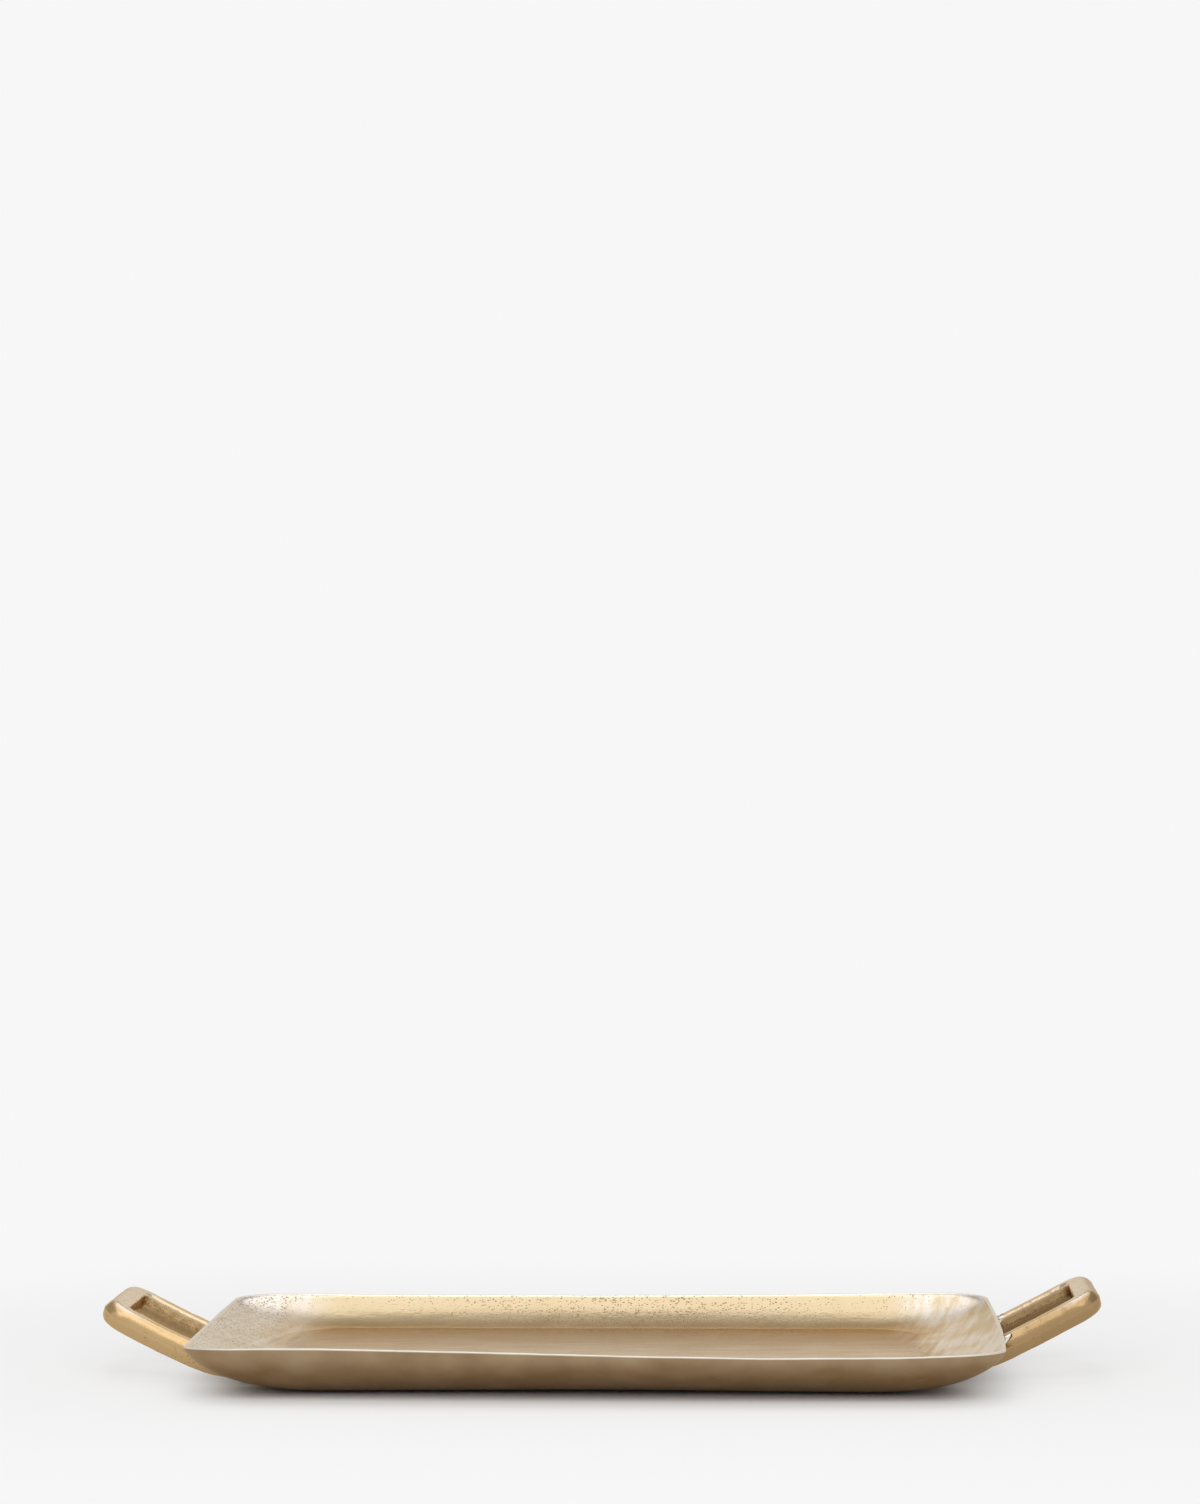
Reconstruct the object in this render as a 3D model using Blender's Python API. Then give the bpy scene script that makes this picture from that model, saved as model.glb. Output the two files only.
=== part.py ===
"""Cast brass serving tray: a shallow bowed pan with a U-shaped bar handle brazed under the rim at each end.

Metres, +Z up. X runs along the tray, Y across it. The origin is on the table, under the middle of the tray.
"""
import math

import bmesh
import bpy
from mathutils import Vector

# Overall
OVERALL_LENGTH = 0.511        # over both handles
GAP = 0.0003                  # clearance between pieces that touch

# Felt pads under the foot rail
PAD_RADIUS = 0.006
PAD_THICKNESS = 0.0012
PAD_SIDES = 28

# Pan, plan view. The corners give the nominal rectangle and the sides bow outward from it.
HALF_LENGTH = 0.2028
HALF_WIDTH = 0.1036
SIDE_BOW = 0.0067             # extra half width at mid length
END_BOW = 0.0034              # extra half length at mid width
CORNER_ALONG = 0.026          # the corners are quarter ellipses: their reach along the tray, at the rim
CORNER_ACROSS = 0.017         # and across it
CORNER_SPREAD = 0.10          # how much a corner grows with each metre of inset
CORNER_POINTS = 7
SIDE_POINTS = 18
END_POINTS = 8

# Pan, heights
BASE_HEIGHT = PAD_THICKNESS + GAP
RIM_HEIGHT = 0.0277           # at the corners, on average
REAR_SAG = 0.0022             # the rim dips by this much at the middle of the rear side
FRONT_SAG = 0.0008            # and by this much at the middle of the front side,
FRONT_LEAN = 0.0040           # where the dip grows from left to right at this rate
END_SAG = 0.0024              # the dip between the legs of a handle
RIM_TWIST = 0.0006            # front left and rear right corners stand up by this much, and the others sink
LIP_RADIUS = 0.0009
DISH_DEPTH = 0.0140           # from the rim's corners down to the serving floor
RECESS_DEPTH = 0.0080         # hollow under the floor, inside the foot rail

# Pan, sections. Both faces of the wall are superellipse quadrants.
OUTER_RUN = 0.0405            # plan distance from the rim to the foot rail
OUTER_POWER = 1.5
OUTER_STEPS = 13
INNER_RUN = 0.0360            # plan distance from the rim to the serving floor
INNER_POWER = 1.6
INNER_STEPS = 11
LIP_STEPS = 4
FOOT_RAIL_WIDTH = 0.0150
RECESS_EDGE = 0.0040          # plan run of the rail's sloping inner side
ENVELOPE_HEAD = 0.02          # how far the cutter made from the pan's outside stands above the rim

# Handles
BAR_WIDTH = 0.0126
BAR_HEIGHT = 0.0120
BAR_RADII = (0.0050, 0.0016, 0.0016, 0.0030)  # edges: outer upper, slot upper, slot lower, outer lower
BAR_CORNER_STEPS = 4
HANDLE_WIDTH = 0.0772         # outside the two legs
HANDLE_REACH = 0.0545         # along the bar, from the pan's end to the tip
HANDLE_OUTER_RADIUS = 0.0140
HANDLE_INNER_RADIUS = 0.0045
HEEL_LENGTH = 0.0360          # leg that runs on under the flared wall before it is cut to it
HEEL_ANGLE = -10.0            # slope of the bar at the end of the heel, degrees
LEG_STEPS = 9
HEEL_STEPS = 9
TURN_STEPS = 5
CROSS_STEPS = 3
# side: (sign of X, height of the bar's middle at the pan's end, slope there, slope at the tip)
HANDLES = {
    "left": (-1, 0.0138, 23.5, 30.0),
    "right": (1, 0.0190, 26.5, 29.0),
}

# Braze fillets where the legs meet the pan
FILLET_RADIUS = 0.0028
FILLET_LOOP_RADII = (0.0042, 0.0042, 0.0026, 0.0026)
FILLET_SMOOTHING = 3
FILLET_HEADROOM = 0.0018      # the bead's middle stays this far under the rim
BEYOND_END = 0.012            # how far past the pan's end a leg's root is looked for
HALVINGS = 30
WELD = 0.00001

BRASS = (0.52, 0.37, 0.17)
BRASS_LIGHT = (0.56, 0.41, 0.20)
BRAZE = (0.60, 0.45, 0.24)
FELT = (0.045, 0.038, 0.032)


def clear_scene():
    for item in list(bpy.data.objects):
        bpy.data.objects.remove(item, do_unlink=True)


def new_collection(name):
    group = bpy.data.collections.new(name)
    bpy.context.scene.collection.children.link(group)
    return group


def material(name, colour, roughness, metallic):
    mat = bpy.data.materials.new(name)
    mat.use_nodes = True
    shader = mat.node_tree.nodes["Principled BSDF"]
    shader.inputs["Base Color"].default_value = (*colour, 1)
    shader.inputs["Roughness"].default_value = roughness
    shader.inputs["Metallic"].default_value = metallic
    return mat


def mesh_object(name, bm, group, mat=None):
    """Turn a bmesh into a smooth-shaded object in a collection."""
    bmesh.ops.recalc_face_normals(bm, faces=bm.faces)
    mesh = bpy.data.meshes.new(name)
    bm.to_mesh(mesh)
    bm.free()
    mesh.shade_smooth()
    mesh.set_sharp_from_angle(angle=math.radians(35))
    item = bpy.data.objects.new(name, mesh)
    group.objects.link(item)
    if mat:
        item.data.materials.append(mat)
    return item


def loft(rings):
    """Skin a list of equal-length closed rings, with a flat face on each end."""
    bm = bmesh.new()
    rows = [[bm.verts.new(point) for point in ring] for ring in rings]
    count = len(rings[0])
    for low, high in zip(rows, rows[1:]):
        for i in range(count):
            j = (i + 1) % count
            bm.faces.new((low[i], low[j], high[j], high[i]))
    bm.faces.new(rows[0])
    bm.faces.new(rows[-1])
    return bm


def cut(item, cutter):
    """Subtract a cutter with a Boolean modifier that stays on the object."""
    boolean = item.modifiers.new("cut_" + cutter.name, "BOOLEAN")
    boolean.operation = "DIFFERENCE"
    boolean.solver = "EXACT"
    boolean.object = cutter


def hide_cutter(item):
    item.hide_render = True
    item.display_type = "WIRE"


# --- pan -----------------------------------------------------------------------------------------


def outline(inset, bow=1.0):
    """Plan points of the pan at an inset from the rim, with each point's place between the corners.

    Gives (x, y, u, v), where u and v run from -1 to 1 along the sides. bow is the share of the sides' bow
    that is left at this height.
    """
    half_x, half_y = HALF_LENGTH - inset, HALF_WIDTH - inset
    along = CORNER_ALONG + CORNER_SPREAD * inset
    across = CORNER_ACROSS + CORNER_SPREAD * inset
    straight_x, straight_y = half_x - along, half_y - across
    plain = []
    for quarter in range(4):
        start = quarter * math.pi / 2
        sign_x = 1 if quarter in (0, 3) else -1
        sign_y = 1 if quarter in (0, 1) else -1
        for k in range(CORNER_POINTS):
            turn = start + (math.pi / 2) * k / (CORNER_POINTS - 1)
            x = sign_x * straight_x + along * math.cos(turn)
            y = sign_y * straight_y + across * math.sin(turn)
            plain.append((x, y))
        steps = SIDE_POINTS if quarter in (0, 2) else END_POINTS
        for k in range(1, steps):
            share = 1 - 2 * k / steps
            if quarter in (0, 2):
                plain.append((sign_x * straight_x * share, sign_y * half_y))
            else:
                plain.append((sign_x * half_x, sign_y * straight_y * share))
    points = []
    for x, y in plain:
        u, v = x / half_x, y / half_y
        bowed_x = x + bow * END_BOW * (1 - v * v) * u
        bowed_y = y + bow * SIDE_BOW * (1 - u * u) * v
        points.append((bowed_x, bowed_y, u, v))
    return points


def rim_dip(u, v):
    """How far the rim lies below RIM_HEIGHT."""
    sag = REAR_SAG if v > 0 else FRONT_SAG + FRONT_LEAN * u
    return sag * (1 - u * u) * v * v + END_SAG * (1 - v * v) * u * u - RIM_TWIST * u * v


def pan_ring(inset, height, low, extra=0.0):
    """One ring of the pan. The rim's dip and the sides' bow fade out towards the height called low."""
    share = (height - low) / (RIM_HEIGHT - low)
    return [(x, y, height - share * rim_dip(u, v) + extra) for x, y, u, v in outline(inset, share)]


def flat_ring(inset, height, bow=0.0):
    return [(x, y, height) for x, y, _, _ in outline(inset, bow)]


def quadrant(run, drop, power, steps):
    """(inset, depth) points of a superellipse quadrant, from its upright start to its level end."""
    points = []
    for k in range(steps + 1):
        turn = math.pi / 2 * k / steps
        inset = run * (1 - abs(math.cos(turn)) ** (2 / power))
        depth = drop * math.sin(turn) ** (2 / power)
        points.append((inset, depth))
    return points


def outer_profile():
    """(inset, height) down the outside of the wall, from under the lip to the foot rail."""
    top = RIM_HEIGHT - LIP_RADIUS
    wall = quadrant(OUTER_RUN, top - BASE_HEIGHT, OUTER_POWER, OUTER_STEPS)
    return [(inset, top - depth) for inset, depth in wall]


def make_pan(group, mat):
    """The pan in one skin: serving floor, inner wall, lip, outer wall, foot rail and recess."""
    floor = RIM_HEIGHT - DISH_DEPTH
    top = RIM_HEIGHT - LIP_RADIUS
    rings = []
    inner = quadrant(INNER_RUN, top - floor, INNER_POWER, INNER_STEPS)
    for inset, depth in reversed(inner):
        rings.append(pan_ring(2 * LIP_RADIUS + inset, top - depth, floor))
    for k in range(1, LIP_STEPS):
        turn = math.pi * k / LIP_STEPS
        inset = LIP_RADIUS * (1 + math.cos(turn))
        rings.append(pan_ring(inset, top + LIP_RADIUS * math.sin(turn), floor))
    for inset, height in outer_profile():
        rings.append(pan_ring(inset, height, BASE_HEIGHT))
    rail = OUTER_RUN + FOOT_RAIL_WIDTH
    rings.append(flat_ring(rail, BASE_HEIGHT))
    rings.append(flat_ring(rail + RECESS_EDGE, BASE_HEIGHT + RECESS_DEPTH))
    return mesh_object("pan", loft(rings), group, mat)


def make_envelope(group):
    """The pan's outside grown by the clearance and carried up past the rim, to cut its neighbours with."""
    rings = [flat_ring(-GAP, RIM_HEIGHT + ENVELOPE_HEAD, bow=1.0)]
    for inset, height in outer_profile():
        rings.append(pan_ring(inset - GAP, height, BASE_HEIGHT, -GAP))
    item = mesh_object("pan_envelope", loft(rings), group)
    hide_cutter(item)
    return item


# --- handles -------------------------------------------------------------------------------------


def bar_path(side, s):
    """Middle of the bar at a distance s past the pan's end: distance out, height and slope."""
    _, start_height, root, tip = HANDLES[side]
    root, tip, heel = (math.radians(angle) for angle in (root, tip, HEEL_ANGLE))
    bend = (tip - root) / HANDLE_REACH if s >= 0 else (root - heel) / HEEL_LENGTH
    slope = root + bend * s
    out = (math.sin(slope) - math.sin(root)) / bend
    rise = (math.cos(root) - math.cos(slope)) / bend
    return HALF_LENGTH + out, start_height + rise, slope


def place(side, s, y, n):
    """World point at s along the bar, y across the tray and n above the bar's middle."""
    sign = HANDLES[side][0]
    out, height, slope = bar_path(side, s)
    return Vector((sign * (out - n * math.sin(slope)), y, height + n * math.cos(slope)))


def bar_section(grow=0.0, radii=BAR_RADII):
    """Rounded section of the bar: (t, n), with t from -1 on the slot side to 1 on the outer side."""
    half = BAR_WIDTH / 2 + grow
    rise = BAR_HEIGHT / 2 + grow
    points = []
    corners = ((1, 1), (-1, 1), (-1, -1), (1, -1))
    for quarter, ((sign_t, sign_n), radius) in enumerate(zip(corners, radii)):
        radius += grow
        for k in range(BAR_CORNER_STEPS + 1):
            turn = math.pi / 2 * (quarter + k / BAR_CORNER_STEPS)
            across = sign_t * (half - radius) + radius * math.cos(turn)
            up = sign_n * (rise - radius) + radius * math.sin(turn)
            points.append((across / half, up))
    return points


def bar_stations():
    """Pairs of plan points (s, y) around the U, the first on the slot's side and the second outside."""
    outer_y, inner_y = HANDLE_WIDTH / 2, HANDLE_WIDTH / 2 - BAR_WIDTH
    outer_s, inner_s = HANDLE_REACH, HANDLE_REACH - BAR_WIDTH
    outer_turn_s, outer_turn_y = outer_s - HANDLE_OUTER_RADIUS, outer_y - HANDLE_OUTER_RADIUS
    inner_turn_s, inner_turn_y = inner_s - HANDLE_INNER_RADIUS, inner_y - HANDLE_INNER_RADIUS
    half = []
    for k in range(HEEL_STEPS):
        s = -HEEL_LENGTH * (1 - k / HEEL_STEPS)
        half.append(((s, inner_y), (s, outer_y)))
    for k in range(LEG_STEPS):
        share = k / LEG_STEPS
        half.append(((inner_turn_s * share, inner_y), (outer_turn_s * share, outer_y)))
    for k in range(TURN_STEPS + 1):
        turn = math.pi / 2 * k / TURN_STEPS
        inner = (
            inner_turn_s + HANDLE_INNER_RADIUS * math.sin(turn),
            inner_turn_y + HANDLE_INNER_RADIUS * math.cos(turn),
        )
        outer = (
            outer_turn_s + HANDLE_OUTER_RADIUS * math.sin(turn),
            outer_turn_y + HANDLE_OUTER_RADIUS * math.cos(turn),
        )
        half.append((inner, outer))
    for k in range(1, CROSS_STEPS + 1):
        share = 1 - k / (CROSS_STEPS + 0.5)
        half.append(((inner_s, inner_turn_y * share), (outer_s, outer_turn_y * share)))
    mirrored = [((a[0], -a[1]), (b[0], -b[1])) for a, b in reversed(half)]
    return half + mirrored


def bar_rings(side, grow=0.0):
    rings = []
    for (inner_s, inner_y), (outer_s, outer_y) in bar_stations():
        across = Vector((outer_s - inner_s, outer_y - inner_y))
        middle = Vector((outer_s + inner_s, outer_y + inner_y)) / 2
        half = across / 2 + across.normalized() * grow
        ring = []
        for t, n in bar_section(grow):
            s, y = middle + half * t
            ring.append(place(side, s, y, n))
        rings.append(ring)
    return rings


def tip_shift(side):
    """What brings the handle's tip exactly to the overall length."""
    sign = HANDLES[side][0]
    reach = max(sign * point.x for ring in bar_rings(side) for point in ring)
    return Vector((sign * (OVERALL_LENGTH / 2 - reach), 0, 0))


def make_handle(side, envelope, group, mat):
    shift = tip_shift(side)
    rings = [[point + shift for point in ring] for ring in bar_rings(side)]
    item = mesh_object("handle_" + side, loft(rings), group, mat)
    cut(item, envelope)
    return item


def make_handle_cutter(side, group):
    """The whole bar grown by the clearance, to cut its fillets with."""
    shift = tip_shift(side)
    rings = [[point + shift for point in ring] for ring in bar_rings(side, GAP)]
    item = mesh_object("bar_envelope_" + side, loft(rings), group)
    hide_cutter(item)
    return item


# --- braze fillets -------------------------------------------------------------------------------


def wall_height(inset):
    """Height of the end wall's outer face at an inset from the rim."""
    share = min(max(inset / OUTER_RUN, 0), 1)
    drop = (1 - (1 - share) ** OUTER_POWER) ** (1 / OUTER_POWER)
    top = RIM_HEIGHT - LIP_RADIUS - END_SAG
    return top - (top - BASE_HEIGHT) * drop


def end_inset(point):
    """How far a point lies inside the end's rim in plan."""
    v = abs(point.y) / HALF_WIDTH
    bow = min(max((point.z - BASE_HEIGHT) / (RIM_HEIGHT - BASE_HEIGHT), 0), 1)
    return HALF_LENGTH + bow * END_BOW * (1 - v * v) - abs(point.x)


def is_outside(point):
    inset = end_inset(point)
    return inset < 0 or point.z < wall_height(inset)


def root_distance(side, y, n, shift):
    """Where a line along the bar's surface runs into the end wall."""
    low, high = -HEEL_LENGTH, BEYOND_END
    for _ in range(HALVINGS):
        middle = (low + high) / 2
        if is_outside(place(side, middle, y, n) + shift):
            high = middle
        else:
            low = middle
    return high


def root_loop(side, leg_sign):
    """The closed line round one leg where it meets the end wall, evened out at its corners."""
    shift = tip_shift(side)
    leg_y = leg_sign * (HANDLE_WIDTH - BAR_WIDTH) / 2
    loop = []
    for t, n in bar_section(radii=FILLET_LOOP_RADII):
        y = leg_y + t * BAR_WIDTH / 2
        s = root_distance(side, y, n, shift)
        loop.append(place(side, s, y, n) + shift)
    for _ in range(FILLET_SMOOTHING):
        loop = [(loop[i - 1] + point * 2 + loop[(i + 1) % len(loop)]) / 4 for i, point in enumerate(loop)]
    top = RIM_HEIGHT - END_SAG - FILLET_HEADROOM
    return [Vector((point.x, point.y, min(point.z, top))) for point in loop]


def tube_loop(name, points, radius, group, mat):
    """A mesh tube along a closed line."""
    data = bpy.data.curves.new(name, "CURVE")
    data.dimensions = "3D"
    data.bevel_depth = radius
    data.bevel_resolution = 2
    spline = data.splines.new("POLY")
    spline.points.add(len(points) - 1)
    for spot, point in zip(spline.points, points):
        spot.co = (*point, 1)
    spline.use_cyclic_u = True
    curve = bpy.data.objects.new(name + "_line", data)
    group.objects.link(curve)
    graph = bpy.context.evaluated_depsgraph_get()
    bm = bmesh.new()
    bm.from_mesh(bpy.data.meshes.new_from_object(curve.evaluated_get(graph)))
    bmesh.ops.remove_doubles(bm, verts=bm.verts, dist=WELD)
    bpy.data.objects.remove(curve, do_unlink=True)
    return mesh_object(name, bm, group, mat)


def make_fillet(name, side, leg_sign, cutters, group, mat):
    """A bead of braze round one leg, cut back to the bar and the pan."""
    item = tube_loop(name, root_loop(side, leg_sign), FILLET_RADIUS, group, mat)
    for cutter in cutters:
        cut(item, cutter)
    return item


# --- felt pads -----------------------------------------------------------------------------------


def make_pad(name, sign_x, sign_y, group, mat):
    inset = OUTER_RUN + FOOT_RAIL_WIDTH / 2
    x, y, _, _ = outline(inset, 0)[CORNER_POINTS // 2]
    bm = bmesh.new()
    bmesh.ops.create_cone(
        bm, cap_ends=True, segments=PAD_SIDES, radius1=PAD_RADIUS, radius2=PAD_RADIUS, depth=PAD_THICKNESS
    )
    item = mesh_object(name, bm, group, mat)
    item.location = (sign_x * x, sign_y * y, PAD_THICKNESS / 2)
    return item


def main():
    clear_scene()
    parts = new_collection("brass_tray")
    cutters = new_collection("cutters")
    pan_brass = material("pan_brass", BRASS, 0.38, 1.0)
    handle_brass = material("handle_brass", BRASS_LIGHT, 0.33, 1.0)
    braze = material("braze", BRAZE, 0.42, 1.0)
    felt = material("felt", FELT, 0.95, 0.0)
    make_pan(parts, pan_brass)
    envelope = make_envelope(cutters)
    for side in HANDLES:
        make_handle(side, envelope, parts, handle_brass)
        bar_cutter = make_handle_cutter(side, cutters)
        for depth, leg_sign in (("front", -1), ("rear", 1)):
            name = "braze_fillet_" + side + "_" + depth
            make_fillet(name, side, leg_sign, (envelope, bar_cutter), parts, braze)
    for side, sign_x in (("left", -1), ("right", 1)):
        for depth, sign_y in (("front", -1), ("rear", 1)):
            make_pad("felt_pad_" + side + "_" + depth, sign_x, sign_y, parts, felt)


main()
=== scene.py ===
"""Looks of a cast brass serving tray: pan, bar handles, braze fillets and felt pads, on a pale studio floor.

Laid out as an add-on. Sizes and colours are properties, every group of pieces is an operator, and
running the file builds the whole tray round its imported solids.
"""
import math

import bmesh
import bpy
from bpy.props import FloatProperty, FloatVectorProperty, IntProperty, PointerProperty
from mathutils import Matrix, Vector


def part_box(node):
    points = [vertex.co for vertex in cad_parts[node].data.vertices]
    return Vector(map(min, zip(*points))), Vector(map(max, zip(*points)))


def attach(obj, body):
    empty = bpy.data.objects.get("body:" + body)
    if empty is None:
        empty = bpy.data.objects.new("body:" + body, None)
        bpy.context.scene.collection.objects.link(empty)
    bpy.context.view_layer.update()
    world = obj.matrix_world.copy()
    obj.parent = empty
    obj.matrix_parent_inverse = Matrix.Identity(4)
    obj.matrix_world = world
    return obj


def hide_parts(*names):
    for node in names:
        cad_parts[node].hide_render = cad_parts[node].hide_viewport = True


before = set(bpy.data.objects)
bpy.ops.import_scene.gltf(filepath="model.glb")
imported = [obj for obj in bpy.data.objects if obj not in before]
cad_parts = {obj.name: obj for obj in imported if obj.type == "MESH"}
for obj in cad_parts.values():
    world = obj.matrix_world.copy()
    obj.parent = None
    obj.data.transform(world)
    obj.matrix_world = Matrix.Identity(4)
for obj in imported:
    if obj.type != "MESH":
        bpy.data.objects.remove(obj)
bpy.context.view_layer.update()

bl_info = {
    "name": "Cast Brass Tray",
    "version": (1, 0, 0),
    "blender": (4, 5, 0),
    "location": "3D View > Sidebar > Brass Tray",
    "description": "Builds a cast brass serving tray with bar handles",
    "category": "Add Mesh",
}

PAN_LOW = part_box("pan")[0]
PAD_LOW, PAD_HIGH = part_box("felt_pad_right_rear")
BODY = "root"
SIDES = {"left": -1, "right": 1}
ENDS = {"front": -1, "rear": 1}

# gaps, overlaps and reaches in metres
WELD = 0.00001
LIP_BAND = 0.0009
BEYOND_END = 0.012
ROOT_SINK = 0.0007
FELT_GAP = 0.0001

# how finely each shape is stepped
PROFILE_STEPS = 48
EDGE_STEPS = 4
CORNER_STEPS = 8
FLAT_STEPS = 8
LEG_STEPS = 46
TURN_STEPS = 20
CROSS_STEPS = 56
SWEEP_STEPS = 12
PAD_SIDES = 64
FLOOR_SIDES = 96
HALVINGS = 24

# depth of the casting's finer unevenness, as a share of the coarser one's
FINE_SHARE = 0.3


def length(name, description, default):
    return FloatProperty(name=name, description=description, default=default, unit="LENGTH", precision=5)


def number(name, description, default):
    return FloatProperty(name=name, description=description, default=default)


def factor(name, description, default):
    return FloatProperty(name=name, description=description, default=default, min=0, max=1, subtype="FACTOR")


def colour(name, description, default):
    return FloatVectorProperty(
        name=name, description=description, default=default, size=3, subtype="COLOR", min=0, max=1
    )


class PanSettings(bpy.types.PropertyGroup):
    """Sizes of the pan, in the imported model's frame."""

    half_length: length("Half Length", "From the middle to an end, at the corners", 0.2028)
    half_width: length("Half Width", "From the middle to a long side, at the corners", 0.1036)
    side_bow: length("Side Bow", "How far the long sides bow outward at the rim", 0.0067)
    end_bow: length("End Bow", "How far the ends bow outward at the rim", 0.0034)
    corner_along: length("Corner Along", "Reach of the rim's elliptical corners along the tray", 0.026)
    corner_across: length("Corner Across", "Reach of the rim's elliptical corners across the tray", 0.017)
    corner_spread: number("Corner Spread", "Growth of the corners with inset from the rim", 0.10)
    rim_height: length("Rim Height", "Height of the rim's corners over the table", 0.0277)
    base_height: length("Base Height", "Height of the foot rail over the table", PAN_LOW.z)
    rear_sag: length("Rear Sag", "Dip of the rim at the middle of the rear side", 0.0022)
    front_sag: length("Front Sag", "Dip of the rim at the middle of the front side", 0.0008)
    front_lean: length("Front Lean", "How much deeper the front rim dips on the right", 0.0040)
    twist: length("Rim Twist", "Rise of the front left and rear right corners", 0.0006)
    end_sag: length("End Sag", "Dip of the rim between a handle's legs", 0.0024)
    lip_radius: length("Lip Half Width", "Half the width of the rim's lip", 0.0009)
    lip_edge: length("Lip Edge", "Rounding of the lip's edges", 0.0004)
    dish_depth: length("Dish Depth", "From the rim's corners down to the serving floor", 0.0140)
    outer_run: length("Outer Run", "Plan distance from the rim to the foot rail", 0.0405)
    outer_power: number("Outer Power", "Superellipse power of the wall's outer face", 1.5)
    inner_run: length("Inner Run", "Plan distance from the lip to the serving floor", 0.0360)
    inner_power: number("Inner Power", "Superellipse power of the wall's inner face", 1.6)
    foot_stretch: number("Foot Stretch", "Lengthens the inner wall, for a crease at the floor", 1.25)
    foot_sink: number("Foot Sink", "Deepens the inner wall, for a crease at the floor", 1.06)
    rail_width: length("Rail Width", "Width of the flat foot rail", 0.0150)
    recess_edge: length("Recess Edge", "Plan run of the rail's sloping inner side", 0.0040)
    recess_depth: length("Recess Depth", "Depth of the hollow under the serving floor", 0.0080)
    cells: IntProperty(
        name="Cells", description="Faces across each side of the pan", default=200, min=40, max=220
    )
    rim_crowding: number("Rim Crowding", "How strongly the faces crowd towards the rim", 1.8)
    rim_wander: length("Rim Wander", "Unevenness of the hand-finished rim", 0.0004)
    belly_arch: length("Belly Arch", "Rise of the foot rail between the pads, from warping", 0.0010)
    cast_depth: length("Cast Depth", "Height of the casting's slow unevenness", 0.00016)
    cast_scale: number("Cast Scale", "Bumps of the slow unevenness in a metre", 75)
    seed: number("Seed", "Picks another casting", 3.7)


class HandleSettings(bpy.types.PropertyGroup):
    """Sizes of the two bar handles."""

    bar_width: length("Bar Width", "Width of the bar in plan", 0.0126)
    bar_height: length("Bar Height", "Thickness of the bar", 0.0120)
    top_radius: length("Top Radius", "Rounding of the bar's outer upper edge", 0.0050)
    slot_radius: length("Slot Radius", "Rounding of the edges on the slot's side", 0.0016)
    bottom_radius: length("Bottom Radius", "Rounding of the bar's outer lower edge", 0.0030)
    draft: length("Draft", "How far the bar's sides lean in above and below the mould's joint", 0.0015)
    width: length("Handle Width", "Outside the two legs", 0.0772)
    reach: length("Reach", "Along the bar, from the pan's end to the tip", 0.0545)
    outer_radius: length("Outer Turn", "Plan radius outside the tip's corners", 0.0140)
    inner_radius: length("Inner Turn", "Plan radius inside the tip's corners", 0.0045)
    heel_length: length("Heel Length", "Leg that may run on under the flared wall", 0.0360)
    heel_angle: number("Heel Angle", "Slope at the heel's end, in degrees", -10.0)
    left_height: length("Left Height", "Middle of the left bar at the pan's end", 0.0138)
    left_root: number("Left Root Slope", "Slope at the pan's end, in degrees", 23.5)
    left_tip: number("Left Tip Slope", "Slope at the tip, in degrees", 30.0)
    right_height: length("Right Height", "Middle of the right bar at the pan's end", 0.0190)
    right_root: number("Right Root Slope", "Slope at the pan's end, in degrees", 26.5)
    right_tip: number("Right Tip Slope", "Slope at the tip, in degrees", 29.0)
    cast_depth: length("Cast Depth", "Height of the bars' unevenness", 0.00025)
    cast_scale: number("Cast Scale", "Bumps of the unevenness in a metre", 120)
    dent_depth: length("Dent Depth", "Depth of the dents inside the slot", 0.00045)
    dent_scale: number("Dent Scale", "Dents in a metre", 330)
    seed: number("Seed", "Picks another casting", 8.2)


class BrazeSettings(bpy.types.PropertyGroup):
    """Sizes of the braze fillets round the legs."""

    leg_reach: length("Leg Reach", "How far a fillet runs along the leg", 0.0045)
    wall_reach: length("Wall Reach", "How far a fillet spreads over the wall", 0.0034)
    sink: length("Sink", "How deep a fillet's hidden side lies in the metal", 0.0008)
    cast_depth: length("Cast Depth", "Height of the fillets' unevenness", 0.00022)


class FeltSettings(bpy.types.PropertyGroup):
    """Sizes and colour of the felt pads."""

    edge: length("Edge", "Rounding of the pad's edges", 0.0003)
    fuzz: length("Fuzz", "Unevenness of the felt", 0.00006)
    colour: colour("Felt", "Colour of the felt", (0.035, 0.030, 0.026))


class FinishSettings(bpy.types.PropertyGroup):
    """Colours of the antique brass."""

    bright: colour("Bright Brass", "Rubbed metal of the pan", (0.73, 0.59, 0.385))
    # Also laid on the handles' upper faces as painted highlight.
    gold: colour("Gold Brass", "Rubbed metal of the handles", (0.80, 0.57, 0.30))
    # Laid where the metal keeps its toning, and also as painted shade.
    toning_and_painted_shade: colour("Toned Brass", "Metal with some antique toning left on", (0.52, 0.345, 0.16))
    # Laid where all the toning is left on, and also as painted shade on the pan's outside and rear floor, the
    # handles' undersides and the right handle.
    dark: colour("Dark Brass", "Metal with all its toning left on", (0.23, 0.135, 0.062))
    # Also laid on the front of the pan's floor as painted reflection.
    worn: colour("Worn Metal", "Metal ground or rubbed down to its pale core", (0.88, 0.83, 0.77))
    edge: colour("Edge Tint", "Tint of the metal seen at a slant", (0.93, 0.83, 0.68))
    pit: colour("Pits", "Toning caught in the casting's pits", (0.34, 0.22, 0.10))
    roughness: factor("Roughness", "Mean roughness of the satin metal", 0.27)


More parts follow.
